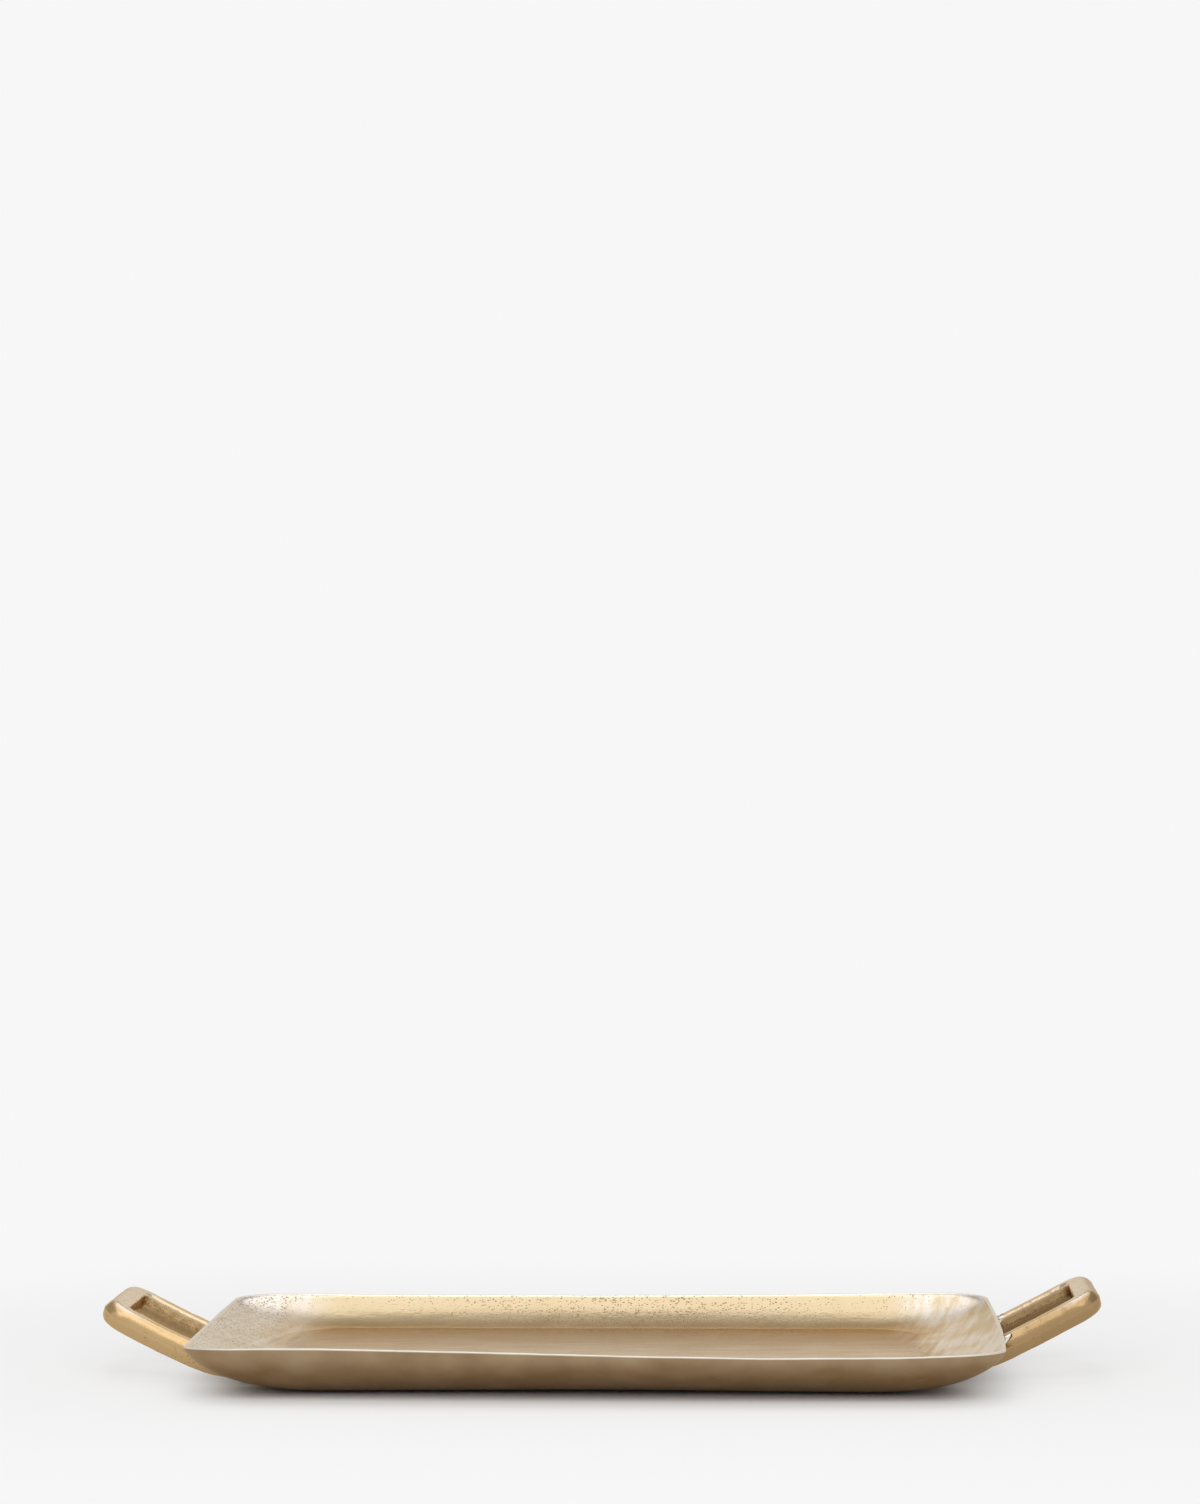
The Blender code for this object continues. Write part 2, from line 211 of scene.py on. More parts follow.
class StageSettings(bpy.types.PropertyGroup):
    """Floor, light and camera."""

    floor: colour("Floor", "Colour of the floor", (0.80, 0.80, 0.80))
    backdrop: colour("Backdrop", "Light of the backdrop", (0.93, 0.93, 0.93))
    camera_x: length("Camera X", "Camera place along the tray", 0.1008)
    camera_y: length("Camera Y", "Camera place in front of the tray", -1.9525)
    camera_z: length("Camera Z", "Camera height", 0.3144)
    camera_turn: number("Camera Turn", "Degrees to the left of the tray's depth", 2.93)
    camera_tilt: number("Camera Tilt", "Degrees above level", 0.226)
    camera_roll: number("Camera Roll", "Degrees round the line of sight", -0.309)
    lens: number("Lens", "Focal length in millimetres on a 36 mm sensor", 90.31)


class TraySettings(bpy.types.PropertyGroup):
    """Everything a user would change."""

    pan: PointerProperty(name="Pan", description="Sizes of the pan", type=PanSettings)
    handle: PointerProperty(name="Handles", description="Sizes of the handles", type=HandleSettings)
    braze: PointerProperty(name="Braze", description="Sizes of the fillets", type=BrazeSettings)
    felt: PointerProperty(name="Felt", description="The felt pads", type=FeltSettings)
    finish: PointerProperty(name="Finish", description="Colours of the brass", type=FinishSettings)
    stage: PointerProperty(name="Stage", description="Floor, light and camera", type=StageSettings)


def clamp(value):
    return min(max(value, 0), 1)


def ramp(value, start, end):
    """0 at start and 1 at end, in a straight line. start may be the larger."""
    return clamp((value - start) / (end - start))


# --- node helpers ---


def plug(tree, spot, value):
    """Give a node's input a constant, or link it to an output."""
    if isinstance(value, Field):
        value = value.socket
    if isinstance(value, bpy.types.NodeSocket):
        tree.links.new(value, spot)
    else:
        spot.default_value = value


def add_node(tree, kind, values=None, **settings):
    """A new node with its properties set and its inputs plugged by name or place."""
    made = tree.nodes.new(kind)
    for name, value in settings.items():
        setattr(made, name, value)
    for name, value in (values or {}).items():
        plug(tree, made.inputs[name], value)
    return made


def arithmetic(operation):
    """Two methods that stand for a Math node: with the field first, and with it second."""

    def forward(field, other):
        return field.math(operation, field, other)

    def backward(field, other):
        return field.math(operation, other, field)

    return forward, backward


class Field:
    """A number that varies over a surface: a node's output, with arithmetic standing for Math nodes."""

    def __init__(self, tree, socket):
        self.tree, self.socket = tree, socket

    def math(self, operation, *values):
        node = add_node(self.tree, "ShaderNodeMath", dict(enumerate(values)), operation=operation)
        return Field(self.tree, node.outputs[0])

    __add__, __radd__ = arithmetic("ADD")
    __sub__, __rsub__ = arithmetic("SUBTRACT")
    __mul__, __rmul__ = arithmetic("MULTIPLY")
    __truediv__, __rtruediv__ = arithmetic("DIVIDE")
    __pow__ = arithmetic("POWER")[0]
    least = arithmetic("MINIMUM")[0]
    most = arithmetic("MAXIMUM")[0]

    def __abs__(self):
        return self.math("ABSOLUTE", self)

    def clip(self):
        """Kept between 0 and 1."""
        return self.least(1).most(0)

    def step(self, start, end):
        """0 before start and 1 past end, with a smooth change between them. start may be the larger."""
        node = add_node(
            self.tree,
            "ShaderNodeMapRange",
            {"Value": self, "From Min": start, "From Max": end},
            interpolation_type="SMOOTHSTEP",
        )
        return Field(self.tree, node.outputs["Result"])


def split(tree, vector):
    """The x, y and z fields of a vector output."""
    node = add_node(tree, "ShaderNodeSeparateXYZ", {"Vector": vector})
    return [Field(tree, output) for output in node.outputs]


def combine(tree, x=0.0, y=0.0, z=0.0):
    return add_node(tree, "ShaderNodeCombineXYZ", {"X": x, "Y": y, "Z": z}).outputs[0]


def noise(tree, vector, scale, detail=2.0, seed=0.0, roughness=0.5):
    values = {"Vector": vector, "Scale": scale, "Detail": detail, "W": seed, "Roughness": roughness}
    return Field(tree, add_node(tree, "ShaderNodeTexNoise", values, noise_dimensions="4D").outputs[0])


def geometry_tree(name, sizes):
    """A new Geometry Nodes tree with named number inputs: the tree, its incoming geometry and its fields."""
    tree = bpy.data.node_groups.new(name, "GeometryNodeTree")
    for way in ("INPUT", "OUTPUT"):
        tree.interface.new_socket("Geometry", in_out=way, socket_type="NodeSocketGeometry")
    for size in sizes:
        tree.interface.new_socket(size, in_out="INPUT", socket_type="NodeSocketFloat")
    tree.interface.new_socket("Material", in_out="INPUT", socket_type="NodeSocketMaterial")
    start = tree.nodes.new("NodeGroupInput")
    return tree, start, {size: Field(tree, start.outputs[size]) for size in sizes}


def end_tree(tree, start, geometry):
    """Close a tree with its instances made real and its material set."""
    real = add_node(tree, "GeometryNodeRealizeInstances", {"Geometry": geometry})
    painted = add_node(
        tree,
        "GeometryNodeSetMaterial",
        {"Geometry": real.outputs[0], "Material": start.outputs["Material"]},
    )
    add_node(tree, "NodeGroupOutput", {"Geometry": painted.outputs[0]})


def add_object(name, data):
    item = bpy.data.objects.new(name, data)
    bpy.context.scene.collection.objects.link(item)
    return item


def new_material(name):
    """A new material, its tree and its shader."""
    mat = bpy.data.materials.new(name)
    mat.use_nodes = True
    return mat, mat.node_tree, mat.node_tree.nodes["Principled BSDF"]


def grow(source, name, tree, values, mat):
    """Run a tree on an object and keep its result as a plain mesh object, in place of the source."""
    modifier = source.modifiers.new(tree.name, "NODES")
    modifier.node_group = tree
    for spot in tree.interface.items_tree:
        if spot.in_out == "INPUT" and spot.name in values:
            modifier[spot.identifier] = float(values[spot.name])
        elif spot.in_out == "INPUT" and spot.name == "Material":
            modifier[spot.identifier] = mat
    graph = bpy.context.evaluated_depsgraph_get()
    mesh = bpy.data.meshes.new_from_object(source.evaluated_get(graph))
    mesh.name = name
    bpy.data.objects.remove(source, do_unlink=True)
    return add_object(name, mesh)


def read_sizes(settings, names):
    """Input names and values of the properties that a tree takes."""
    return {settings.bl_rna.properties[name].name: getattr(settings, name) for name in names}


def finish_piece(item, node):
    """Hand a piece that stands for a CAD node of the same place to the frame."""
    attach(item, BODY)
    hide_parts(node)


# --- pan ---

PAN_SIZES = (
    "half_length", "half_width", "side_bow", "end_bow", "corner_along", "corner_across", "corner_spread",
    "rim_height", "base_height", "rear_sag", "front_sag", "front_lean", "end_sag", "twist", "lip_radius",
    "dish_depth", "outer_run", "inner_run", "rail_width", "recess_edge", "cells", "rim_crowding",
    "rim_wander", "belly_arch", "cast_depth", "cast_scale", "seed",
)


def quadrant(run, drop, power):
    """(inset, depth) points of a superellipse quadrant, from its upright start to its level end."""
    points = []
    for k in range(PROFILE_STEPS + 1):
        turn = math.pi / 2 * k / PROFILE_STEPS
        points.append((run * (1 - abs(math.cos(turn)) ** (2 / power)), drop * math.sin(turn) ** (2 / power)))
    return points


def pan_profiles(pan):
    """(inset, height) points from the middle to the lip's top, for the dish and for the underside."""
    lip, edge = pan.lip_radius, pan.lip_edge
    top = pan.rim_height - edge
    floor = pan.rim_height - pan.dish_depth
    rail = pan.outer_run + pan.rail_width
    recess = pan.base_height + pan.recess_depth
    dish = [(pan.half_width, floor)]
    wall = quadrant(pan.inner_run * pan.foot_stretch, (top - floor) * pan.foot_sink, pan.inner_power)
    for inset, depth in reversed(wall):
        if depth < top - floor:
            dish.append((2 * lip + inset, top - depth))
    under = [(pan.half_width, recess), (rail + pan.recess_edge, recess), (rail, pan.base_height)]
    for inset, depth in reversed(quadrant(pan.outer_run, top - pan.base_height, pan.outer_power)):
        under.append((inset, top - depth))
    for points, sign in ((dish, 1), (under, -1)):
        for k in range(1, EDGE_STEPS + 1):
            turn = math.pi / 2 * k / EDGE_STEPS
            points.append((lip + sign * (lip - edge * (1 - math.cos(turn))), top + edge * math.sin(turn)))
        points.append((lip, pan.rim_height))
    return dish, under


def profile_curve(name, profiles):
    """A curve object with one polyline a profile, inset along X and height along Z."""
    data = bpy.data.curves.new(name, "CURVE")
    data.dimensions = "3D"
    for points in profiles:
        spline = data.splines.new("POLY")
        spline.points.add(len(points) - 1)
        for spot, (inset, height) in zip(spline.points, points):
            spot.co = (inset, 0, height, 1)
    return add_object(name, data)


def pan_face(tree, start, size, index, low, limit, arch):
    """Wrap a square grid into one face of the pan, each square ring at its place on the profile.

    low is the height where the sides' bow and the rim's dip have faded out, and limit the inset past which
    the rings shrink evenly towards the middle.
    """
    cells = size["Cells"] + 1
    grid = add_node(
        tree, "GeometryNodeMeshGrid", {"Size X": 2.0, "Size Y": 2.0, "Vertices X": cells, "Vertices Y": cells}
    )
    p, q, _ = split(tree, tree.nodes.new("GeometryNodeInputPosition").outputs[0])
    ring = abs(p).most(abs(q))
    share = 1 - (1 - ring).most(0) ** size["Rim Crowding"]
    sample = add_node(
        tree,
        "GeometryNodeSampleCurve",
        {"Curves": start.outputs["Geometry"], "Factor": share, "Curve Index": index},
        mode="FACTOR",
    )
    inset, _, height = split(tree, sample.outputs["Position"])
    held = inset.least(limit)
    shrink = ((size["Half Width"] - inset) / (size["Half Width"] - limit)).clip()
    half_x = (size["Half Length"] - held) * shrink
    half_y = (size["Half Width"] - held) * shrink
    along = (size["Corner Along"] + size["Corner Spread"] * held) * shrink
    across = (size["Corner Across"] + size["Corner Spread"] * held) * shrink
    edge_x, edge_y = p / ring * half_x, q / ring * half_y
    core_x = edge_x.least(half_x - along).most(along - half_x)
    core_y = edge_y.least(half_y - across).most(across - half_y)
    off_x, off_y = (edge_x - core_x) / along, (edge_y - core_y) / across
    reach = (off_x * off_x + off_y * off_y) ** 0.5
    x = core_x + off_x / reach * along
    y = core_y + off_y / reach * across
    u, v = x / half_x, y / half_y
    rise = (height - low) / (size["Rim Height"] - low)
    middle_u, middle_v = 1 - u * u, 1 - v * v
    x = x + rise * size["End Bow"] * middle_v * u
    y = y + rise * size["Side Bow"] * middle_u * v
    front = v.step(0.02, -0.02)
    sag = size["Rear Sag"] + front * (size["Front Sag"] - size["Rear Sag"] + size["Front Lean"] * u)
    dip = sag * middle_u * v * v + size["End Sag"] * middle_v * u * u - size["Rim Twist"] * u * v
    wander = noise(tree, combine(tree, x, y), 26.0, 3.0, size["Seed"]) - 0.5
    z = height - rise * dip + rise * rise * size["Rim Wander"] * 2 * wander
    if arch:
        z = z + size["Belly Arch"] * (1 - rise) * middle_u * middle_u
    geometry = grid.outputs[0]
    lip = height.step(size["Rim Height"] - LIP_BAND, size["Rim Height"] - LIP_BAND / 3)
    for name, value in (("lip", lip), ("inset", inset), ("dish", 0.0 if arch else 1.0)):
        values = {"Geometry": geometry, "Name": name, "Value": value}
        stored = add_node(tree, "GeometryNodeStoreNamedAttribute", values, data_type="FLOAT", domain="POINT")
        geometry = stored.outputs[0]
    values = {"Geometry": geometry, "Position": combine(tree, x, y, z)}
    moved = add_node(tree, "GeometryNodeSetPosition", values)
    if not arch:
        return moved.outputs[0]
    return add_node(tree, "GeometryNodeFlipFaces", {"Mesh": moved.outputs[0]}).outputs[0]


def cast_skin(tree, geometry, size, finer, layers=()):
    """Move a surface along its normal by soft noise: two layers of cast unevenness, and any further ones.

    finer is how much smaller the second layer's bumps are. A further layer is a depth, a scale and a weight.
    """
    depth, scale = size["Cast Depth"], size["Cast Scale"]
    layers = [(depth, scale, 1.0), (depth * FINE_SHARE, scale * finer, 1.0), *layers]
    place = tree.nodes.new("GeometryNodeInputPosition").outputs[0]
    normal = tree.nodes.new("GeometryNodeInputNormal").outputs[0]
    height = 0.0
    for depth, scale, weight in layers:
        height = height + (noise(tree, place, scale, 2.0, size["Seed"]) - 0.5) * 2 * depth * weight
    offset = add_node(tree, "ShaderNodeVectorMath", {0: normal, "Scale": height}, operation="SCALE")
    moved = add_node(tree, "GeometryNodeSetPosition", {"Geometry": geometry, "Offset": offset.outputs[0]})
    return add_node(tree, "GeometryNodeSetShadeSmooth", {"Geometry": moved.outputs[0]}).outputs[0]


def pan_tree(pan):
    """The pan's whole tree: both faces, welded at the lip, with the casting's unevenness."""
    tree, start, size = geometry_tree("dished_pan", read_sizes(pan, PAN_SIZES))
    floor = size["Rim Height"] - size["Dish Depth"]
    foot = size["Inner Run"] + size["Lip Half Width"] * 2
    dish = pan_face(tree, start, size, 0, floor, foot, arch=False)
    rail = size["Outer Run"] + size["Rail Width"] + size["Recess Edge"]
    under = pan_face(tree, start, size, 1, size["Base Height"], rail, arch=True)
    both = tree.nodes.new("GeometryNodeJoinGeometry")
    for face in (dish, under):
        tree.links.new(face, both.inputs[0])
    welded = add_node(tree, "GeometryNodeMergeByDistance", {"Geometry": both.outputs[0], "Distance": WELD})
    end_tree(tree, start, cast_skin(tree, welded.outputs[0], size, 3.5))
    return tree


class BRASS_TRAY_OT_pan(bpy.types.Operator):
    """Build the cast pan"""

    bl_idname = "brass_tray.pan"
    bl_label = "Pan"

    def execute(self, context):
        tray = context.scene.brass_tray
        source = profile_curve("pan_profiles", pan_profiles(tray.pan))
        mat = brass("pan_brass", tray.finish, pan_marks, tray.finish.bright)
        item = grow(source, "cast_pan", pan_tree(tray.pan), read_sizes(tray.pan, PAN_SIZES), mat)
        finish_piece(item, "pan")
        return {"FINISHED"}


# --- handles ---

BAR_SIZES = ("cast_depth", "cast_scale", "dent_depth", "dent_scale", "seed")


class Bar:
    """One handle's bar: where its surface lies along, across and around."""

    def __init__(self, tray, side):
        self.pan, self.handle = tray.pan, tray.handle
        self.sign = SIDES[side]
        self.start_height = getattr(self.handle, side + "_height")
        self.root = math.radians(getattr(self.handle, side + "_root"))
        self.tip = math.radians(getattr(self.handle, side + "_tip"))
        self.heel = math.radians(self.handle.heel_angle)
        self.shift = 0.0
        reach, width = self.handle.reach, self.handle.bar_width
        end = max(self.sign * self.point(reach - (1 - t) / 2 * width, 0, n).x for t, n in self.section())
        self.shift = max(self.sign * corner.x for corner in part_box("handle_" + side)) - end

    def point(self, s, y, n):
        """World point at s along the bar, y across the tray and n above the bar's middle."""
        handle = self.handle
        if s >= 0:
            bend = (self.tip - self.root) / handle.reach
        else:
            bend = (self.root - self.heel) / handle.heel_length
        slope = self.root + bend * s
        out = self.pan.half_length + (math.sin(slope) - math.sin(self.root)) / bend
        height = self.start_height + (math.cos(self.root) - math.cos(slope)) / bend
        x = self.sign * (out + self.shift - n * math.sin(slope))
        return Vector((x, y, height + n * math.cos(slope)))

    def section(self, grow=0.0):
        """Rounded section: (t, n), with t from -1 on the slot side to 1 on the outer side."""
        handle = self.handle
        half, rise = handle.bar_width / 2 + grow, handle.bar_height / 2 + grow
        turns = (
            (1, 1, handle.top_radius),
            (-1, 1, handle.slot_radius),
            (-1, -1, handle.slot_radius),
            (1, -1, handle.bottom_radius),
        )
        corners = []
        for quarter, (sign_t, sign_n, radius) in enumerate(turns):
            radius += grow
            for k in range(CORNER_STEPS + 1):
                turn = math.pi / 2 * (quarter + k / CORNER_STEPS)
                across = sign_t * (half - radius) + radius * math.cos(turn)
                corners.append((across / half, sign_n * (rise - radius) + radius * math.sin(turn)))
        points = []
        for k, (t, n) in enumerate(corners):
            points.append((t, n))
            if (k + 1) % (CORNER_STEPS + 1) == 0:
                next_t, next_n = corners[(k + 1) % len(corners)]
                for j in range(1, FLAT_STEPS):
                    share = j / FLAT_STEPS
                    points.append((t + (next_t - t) * share, n + (next_n - n) * share))
        return [(t * (1 - handle.draft / half * abs(n) / rise), n) for t, n in points]

    def wall_height(self, inset):
        """Height of the end wall's outer face at an inset from the rim."""
        pan = self.pan
        share = clamp(inset / pan.outer_run)
        drop = (1 - (1 - share) ** pan.outer_power) ** (1 / pan.outer_power)
        top = pan.rim_height - pan.lip_radius - pan.end_sag
        return top - (top - pan.base_height) * drop

    def is_outside(self, place):
        pan = self.pan
        v = abs(place.y) / pan.half_width
        rise = ramp(place.z, pan.base_height, pan.rim_height)
        inset = pan.half_length + rise * pan.end_bow * (1 - v * v) - abs(place.x)
        return inset < 0 or place.z < self.wall_height(inset)

    def root_distance(self, y, n):
        """Where a line along the bar runs into the end wall."""
        low, high = -self.handle.heel_length, BEYOND_END
        for _ in range(HALVINGS):
            middle = (low + high) / 2
            if self.is_outside(self.point(middle, y, n)):
                high = middle
            else:
                low = middle
        return high

    def stations(self):
        """Pairs of plan points (s, y) round the U, the slot's side first. Both leg ends have s as None."""
        handle = self.handle
        outer_y, inner_y = handle.width / 2, handle.width / 2 - handle.bar_width
        outer_s, inner_s = handle.reach, handle.reach - handle.bar_width
        outer_turn = (outer_s - handle.outer_radius, outer_y - handle.outer_radius)
        inner_turn = (inner_s - handle.inner_radius, inner_y - handle.inner_radius)
        half = []
        for k in range(LEG_STEPS):
            along = k / LEG_STEPS
            half.append(((along, inner_turn[0], inner_y), (along, outer_turn[0], outer_y)))
        for k in range(TURN_STEPS + 1):
            turn = math.pi / 2 * k / TURN_STEPS
            pair = []
            for (s, y), radius in ((inner_turn, handle.inner_radius), (outer_turn, handle.outer_radius)):
                pair.append((1.0, s + radius * math.sin(turn), y + radius * math.cos(turn)))
            half.append(tuple(pair))
        for k in range(1, CROSS_STEPS // 2 + 1):
            share = 1 - k / (CROSS_STEPS / 2 + 0.5)
            half.append(((1.0, inner_s, inner_turn[1] * share), (1.0, outer_s, outer_turn[1] * share)))
        mirrored = [tuple((along, s, -y) for along, s, y in pair) for pair in reversed(half)]
        return half + mirrored

    def rings(self):
        """Rings of points round the bar, from inside the wall at one leg to inside it at the other."""
        section = self.section()
        rings = []
        for inner, outer in self.stations():
            ring = []
            for t, n in section:
                share = (t + 1) / 2
                along = inner[0]
                s = inner[1] + (outer[1] - inner[1]) * share
                y = inner[2] + (outer[2] - inner[2]) * share
                if along < 1:
                    root = self.root_distance(y, n) - ROOT_SINK
                    s = root + (s - root) * along
                ring.append(self.point(s, y, n))
            rings.append(ring)
        return rings

    def weights(self, rings):
        """How far each point counts as slot side, top, underside and the slot's upper edge."""
        rise = self.handle.bar_height / 2
        places = [(t, n / rise) for t, n in self.section()]
        found = {
            "slot": [ramp(t, -0.65, -0.9) for t, _ in places],
            "top": [ramp(n, 2 / 3, 1) for _, n in places],
            "low": [ramp(n, 0.2, -0.3) for _, n in places],
            "edge": [ramp(t, -0.64, -0.84) * ramp(n, 2 / 3, 1) for t, n in places],
        }
        return {name: values * rings + [0.0, 0.0] for name, values in found.items()}


def loft(rings, closed=False):
    """Skin closed rings of equal length: capped at both ends, or joined into a loop."""
    bm = bmesh.new()
    rows = [[bm.verts.new(place) for place in ring] for ring in rings]
    pairs = list(zip(rows, rows[1:]))
    if closed:
        pairs.append((rows[-1], rows[0]))
    count = len(rows[0])
    for low, high in pairs:
        for i in range(count):
            j = (i + 1) % count
            bm.faces.new((low[i], low[j], high[j], high[i]))
    if not closed:
        for row in (rows[0], rows[-1]):
            middle = bm.verts.new(sum((vert.co for vert in row), Vector()) / count)
            for i in range(count):
                bm.faces.new((row[i], row[(i + 1) % count], middle))
    bmesh.ops.recalc_face_normals(bm, faces=bm.faces)
    return bm


def mesh_object(name, bm, weights=None):
    """A bmesh as a smooth object, with any named weights stored on its points."""
    mesh = bpy.data.meshes.new(name)
    bm.to_mesh(mesh)
    bm.free()
    mesh.shade_smooth()
    for key, values in (weights or {}).items():
        mesh.attributes.new(key, "FLOAT", "POINT").data.foreach_set("value", values)
    return add_object(name, mesh)


def skin_tree(name, sizes, dented):
    """A tree that gives a plain loft the unevenness of a sand casting."""
    tree, start, size = geometry_tree(name, sizes)
    layers = []
    if dented:
        slot = add_node(tree, "GeometryNodeInputNamedAttribute", {"Name": "slot"}, data_type="FLOAT")
        layers.append((size["Dent Depth"], size["Dent Scale"], Field(tree, slot.outputs[0])))
    end_tree(tree, start, cast_skin(tree, start.outputs["Geometry"], size, 3, layers))
    return tree


class BRASS_TRAY_OT_handles(bpy.types.Operator):
    """Build the two bar handles"""

    bl_idname = "brass_tray.handles"
    bl_label = "Handles"

    def execute(self, context):
        tray = context.scene.brass_tray
        values = read_sizes(tray.handle, BAR_SIZES)
        tree = skin_tree("cast_bar", values, dented=True)
        mat = brass("handle_brass", tray.finish, handle_marks, tray.finish.gold)
        for side in SIDES:
            bar = Bar(tray, side)
            rings = bar.rings()
            source = mesh_object("bar_" + side, loft(rings), bar.weights(len(rings)))
            item = grow(source, "bar_handle_" + side, tree, values, mat)
            finish_piece(item, "handle_" + side)
        return {"FINISHED"}


# --- braze fillets ---

def fillet_rings(bar, braze, leg_y):
    """Closed cross-sections of one fillet: a concave sweep from the leg to the wall, and a hidden back."""
    handle = bar.handle
    rim = bar.pan.rim_height - bar.pan.end_sag
    rings = []
    for (t, n), (wide_t, wide_n) in zip(bar.section(), bar.section(braze.wall_reach)):
        y = leg_y + t * handle.bar_width / 2
        wide_y = leg_y + wide_t * (handle.bar_width / 2 + braze.wall_reach)
        root = bar.root_distance(y, n)
        corner = bar.point(root, y, n)
        on_leg = bar.point(root + braze.leg_reach, y, n)
        on_wall = bar.point(bar.root_distance(wide_y, wide_n), wide_y, wide_n)
        corner.z, on_wall.z = min(corner.z, rim), min(on_wall.z, rim)
        inward = (on_leg - corner).normalized() + (on_wall - corner).normalized()
        ring = []
        for k in range(SWEEP_STEPS + 1):
            share = k / SWEEP_STEPS
            place = on_leg * (1 - share) ** 2 + corner * 2 * share * (1 - share) + on_wall * share**2
            edge = abs(2 * share - 1) ** 6
            ring.append(place - inward * braze.sink * 0.25 * edge)
        ring.append(corner - inward * braze.sink)
        rings.append(ring)
    return rings


class BRASS_TRAY_OT_braze(bpy.types.Operator):
    """Build the braze fillets where the legs meet the pan"""

    bl_idname = "brass_tray.braze"
    bl_label = "Braze Fillets"

    def execute(self, context):
        tray = context.scene.brass_tray
        values = dict(read_sizes(tray.handle, BAR_SIZES), **{"Cast Depth": tray.braze.cast_depth})
        tree = skin_tree("cast_fillet", values, dented=False)
        mat = brass("braze", tray.finish, braze_marks, tray.finish.gold)
        for side in SIDES:
            bar = Bar(tray, side)
            for end, sign in ENDS.items():
                leg_y = sign * (tray.handle.width - tray.handle.bar_width) / 2
                source = mesh_object("fillet", loft(fillet_rings(bar, tray.braze, leg_y), closed=True))
                name = "braze_" + side + "_" + end
                item = grow(source, name, tree, values, mat)
                finish_piece(item, "braze_fillet_" + side + "_" + end)
        return {"FINISHED"}


# --- felt pads ---

PAD_RINGS = (0.4, 0.8)


class BRASS_TRAY_OT_felt(bpy.types.Operator):
    """Build the felt pads under the foot rail"""

    bl_idname = "brass_tray.felt"
    bl_label = "Felt Pads"

    def execute(self, context):
        tray = context.scene.brass_tray
        felt = tray.felt
        mat = felt_material(felt)
        tree = skin_tree("pressed_felt", ["Cast Depth", "Cast Scale", "Seed"], dented=False)
        radius, thickness = (PAD_HIGH.x - PAD_LOW.x) / 2, tray.pan.base_height - FELT_GAP
        edge = min(felt.edge, thickness / 2)
        profile = [(share * radius, thickness) for share in PAD_RINGS]
        for k in range(EDGE_STEPS + 1):
            turn = math.pi / 2 * k / EDGE_STEPS
            profile.append((radius - edge * (1 - math.sin(turn)), thickness - edge * (1 - math.cos(turn))))
        profile += [(width, thickness - height + felt.fuzz) for width, height in reversed(profile)]
        for side in SIDES:
            for end in ENDS:
                node = "felt_pad_" + side + "_" + end
                low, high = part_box(node)
                middle = (low + high) / 2
                rings = []
                for width, height in profile:
                    ring = []
                    for k in range(PAD_SIDES):
                        turn = 2 * math.pi * k / PAD_SIDES
                        off = Vector((width * math.cos(turn), width * math.sin(turn), 0))
                        ring.append(Vector((middle.x, middle.y, height)) + off)
                    rings.append(ring)
                source = mesh_object("felt", loft(rings))
                values = {"Cast Depth": felt.fuzz, "Cast Scale": 700, "Seed": 1}
                item = grow(source, "felt_disc_" + side + "_" + end, tree, values, mat)
                finish_piece(item, node)
        return {"FINISHED"}


# --- materials ---


# insets from the rim, and places along and across the tray, where the pan's finish and its painted light and
# shade change
WALL_FOOT = (0.020, 0.034)
FLOOR_EDGE = (0.036, 0.039)
CREASE = 0.0372
END_ZONE = (0.145, 0.182)
FRONT_ZONE = (0.060, -0.075)
REAR_EDGE = (0.05, 0.06)
BELLY = (0.025, 0.010)
TIP_ZONE = (0.230, 0.243)

PIT_SOFTNESS = 0.12
LEAST_ROUGHNESS = 0.1


class Finish:
    """A metal under construction, with the fields that the marks of each group set.

    tone runs from the toned colour to the rubbed one; it is raised for painted highlight and lowered for
    painted shade. shade, wear and pit are shares of dark, of worn and of pit colour, laid over it in that
    order: shade holds toning and painted shade, and wear holds real wear and painted reflection. rough is
    added to the mean roughness, and relief is a fine height in metres.
    """

    def __init__(self, tree):
        self.tree = tree
        self.place = tree.nodes.new("ShaderNodeTexCoord").outputs["Object"]
        self.x, self.y, self.z = split(tree, self.place)

    def weight(self, name):
        node = add_node(self.tree, "ShaderNodeAttribute", attribute_name=name)
        return Field(self.tree, node.outputs["Fac"])

    def noise(self, scale, detail=2.0, seed=0.0, stretch=(1, 1, 1), turn=0.0, roughness=0.5):
        """Noise on the piece, drawn out by stretch along its own axes, which are turned about Z."""
        values = {"Vector": self.place, "Rotation": (0, 0, turn), "Scale": stretch}
        mapped = add_node(self.tree, "ShaderNodeMapping", values, vector_type="TEXTURE").outputs[0]
        return noise(self.tree, mapped, scale, detail, seed, roughness)

    def pits(self, scale, size, seed=0.0):
        """Round pits: 1 in a pit and 0 between. size is a pit's radius as a share of a cell, or a field."""
        shifted = add_node(self.tree, "ShaderNodeMapping", {"Vector": self.place, "Location": (seed, 0, 0)})
        cells = add_node(self.tree, "ShaderNodeTexVoronoi", {"Vector": shifted.outputs[0], "Scale": scale})
        chance = add_node(self.tree, "ShaderNodeSeparateColor", {"Color": cells.outputs["Color"]})
        room = Field(self.tree, chance.outputs[0]) * size
        return (room - Field(self.tree, cells.outputs["Distance"])).step(0.0, PIT_SOFTNESS)


def mix_colours(tree, share, first, second):
    node = add_node(tree, "ShaderNodeMix", {"Factor": share}, data_type="RGBA")
    for spot, value in ((6, first), (7, second)):
        plug(tree, node.inputs[spot], (*value, 1) if not isinstance(value, bpy.types.NodeSocket) else value)
    return node.outputs[2]


